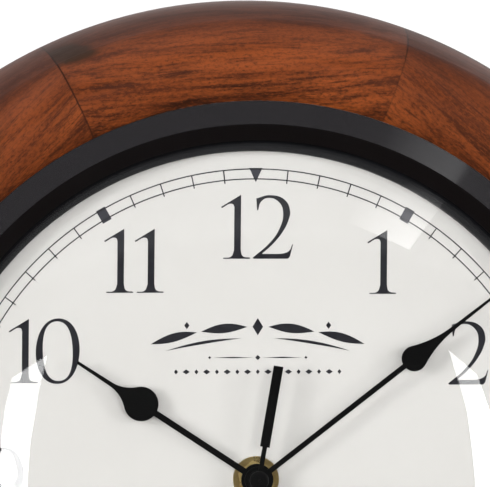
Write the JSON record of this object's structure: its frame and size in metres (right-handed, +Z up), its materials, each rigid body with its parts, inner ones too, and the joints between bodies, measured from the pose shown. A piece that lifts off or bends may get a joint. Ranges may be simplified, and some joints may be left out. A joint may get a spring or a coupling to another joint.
{
  "type": "mantel clock",
  "caption": "Round wooden mantel clock on a low base: segmented ring, black bezel, domed glass, printed dial, spade hands and a battery quartz movement behind a hinged door.",
  "frame": {"origin": "middle of the underside, on the surface that the felt pads stand on", "axes": "+Z up, -Y towards the viewer of the dial, +X to the viewer's right"},
  "size_m": [0.292, 0.092, 0.3045],
  "materials": {
    "ring_wood": "stained and lacquered hardwood",
    "base_wood": "stained and lacquered hardwood",
    "bezel_black": "satin black",
    "clear_glass": "clear domed glass",
    "lip_black": "dark grey, slightly glossy",
    "dial_card": "warm white printed card",
    "fibreboard": "plain brown fibreboard",
    "panel_board": "fibreboard painted near black",
    "hand_black": "matt black enamel",
    "brass": "plain turned brass",
    "steel": "zinc plated",
    "rubber": "matt",
    "felt": "pressed felt",
    "case_plastic": "moulded, fine texture",
    "gear_plastic": "natural acetal",
    "knob_plastic": "moulded",
    "copper": "enamelled copper wire",
    "magnet": "ferrite",
    "circuit": "green lacquered laminate",
    "chip": "black epoxy",
    "battery_can": "plain wrapped can"
  },
  "bodies": {
    "clock": {"ring_segment_1": "ring_wood", "ring_segment_2": "ring_wood", "ring_segment_3": "ring_wood", "ring_segment_4": "ring_wood", "ring_segment_5": "ring_wood", "ring_segment_6": "ring_wood", "ring_segment_7": "ring_wood", "ring_segment_8": "ring_wood", "bezel_ring": "bezel_black", "dome_glass": "clear_glass", "glass_gasket": "rubber", "dial_spacer_ring": "lip_black", "dial_paper": "dial_card", "dial_board": "fibreboard", "dial_board_screws": "steel", "back_panel": "panel_board", "back_panel_screws": "brass", "frame_hinge_leaf": "brass", "hinge_pin": "steel", "magnet_catch": "magnet", "base_slab": "base_wood", "base_cheek_left": "base_wood", "base_cheek_right": "base_wood", "cheek_screws": "steel", "ring_screws": "steel", "felt_pads": "felt", "movement_front_case": "case_plastic", "threaded_bushing": "brass", "rubber_washer": "rubber", "brass_washer": "brass", "hex_nut": "brass", "movement_middle_plate": "gear_plastic", "movement_back_cover": "case_plastic", "stator": "steel", "stepper_coil": "copper", "circuit_board": "circuit", "timing_chip": "chip", "quartz_crystal": "steel", "aa_battery": "battery_can", "battery_contact_positive": "steel", "battery_contact_negative": "steel"},
    "minute_train": {"centre_wheel": "gear_plastic", "minute_tube": "gear_plastic", "minute_hand": "hand_black"},
    "hour_train": {"hour_wheel": "gear_plastic", "hour_hand": "hand_black"},
    "seconds_train": {"seconds_wheel": "gear_plastic", "second_hand": "hand_black", "second_hand_cap": "hand_black"},
    "third": {"third_wheel": "gear_plastic"},
    "reverse": {"reverse_wheel": "gear_plastic"},
    "step": {"step_wheel": "gear_plastic"},
    "motor_rotor": {"rotor": "magnet"},
    "setter": {"setting_knob": "knob_plastic"},
    "door": {"access_door": "panel_board", "door_pull": "brass", "door_hinge_leaf": "brass", "door_strike": "steel"}
  },
  "joints": [
    {"name": "minute_hand_spin", "type": "hinge", "parent": "clock", "child": "minute_train", "pos_m": [0, 0, 0.1585], "axis": [0, 1, 0], "continuous": true},
    {"name": "hour_hand_spin", "type": "hinge", "parent": "clock", "child": "hour_train", "pos_m": [0, 0, 0.1585], "axis": [0, 1, 0], "continuous": true},
    {"name": "second_hand_spin", "type": "hinge", "parent": "clock", "child": "seconds_train", "pos_m": [0, 0, 0.1585], "axis": [0, 1, 0], "continuous": true},
    {"name": "third_wheel_spin", "type": "hinge", "parent": "clock", "child": "third", "pos_m": [0, 0, 0.1675], "axis": [0, 1, 0], "continuous": true},
    {"name": "step_wheel_spin", "type": "hinge", "parent": "clock", "child": "step", "pos_m": [0.00875, 0, 0.1585], "axis": [0, 1, 0], "continuous": true},
    {"name": "rotor_spin", "type": "hinge", "parent": "clock", "child": "motor_rotor", "pos_m": [0.01524, 0, 0.16225], "axis": [0, 1, 0], "continuous": true},
    {"name": "reverse_wheel_spin", "type": "hinge", "parent": "clock", "child": "reverse", "pos_m": [-0.0096, 0, 0.1585], "axis": [0, 1, 0], "continuous": true},
    {"name": "setting_knob_spin", "type": "hinge", "parent": "clock", "child": "setter", "pos_m": [-0.0144, 0, 0.16681], "axis": [0, 1, 0], "continuous": true},
    {"name": "access_door_hinge", "type": "hinge", "parent": "clock", "child": "door", "pos_m": [0.04175, 0.0277, 0.1585], "axis": [0, 0, -1], "range_deg": [0, 110]}
  ],
  "couplings": [
    {"joint": "hour_hand_spin", "follows": "minute_hand_spin", "ratio": 0.083333},
    {"joint": "second_hand_spin", "follows": "minute_hand_spin", "ratio": 60},
    {"joint": "third_wheel_spin", "follows": "minute_hand_spin", "ratio": -7.5},
    {"joint": "step_wheel_spin", "follows": "minute_hand_spin", "ratio": -360},
    {"joint": "rotor_spin", "follows": "minute_hand_spin", "ratio": 1800},
    {"joint": "reverse_wheel_spin", "follows": "minute_hand_spin", "ratio": -0.33333},
    {"joint": "setting_knob_spin", "follows": "minute_hand_spin", "ratio": 1}
  ]
}
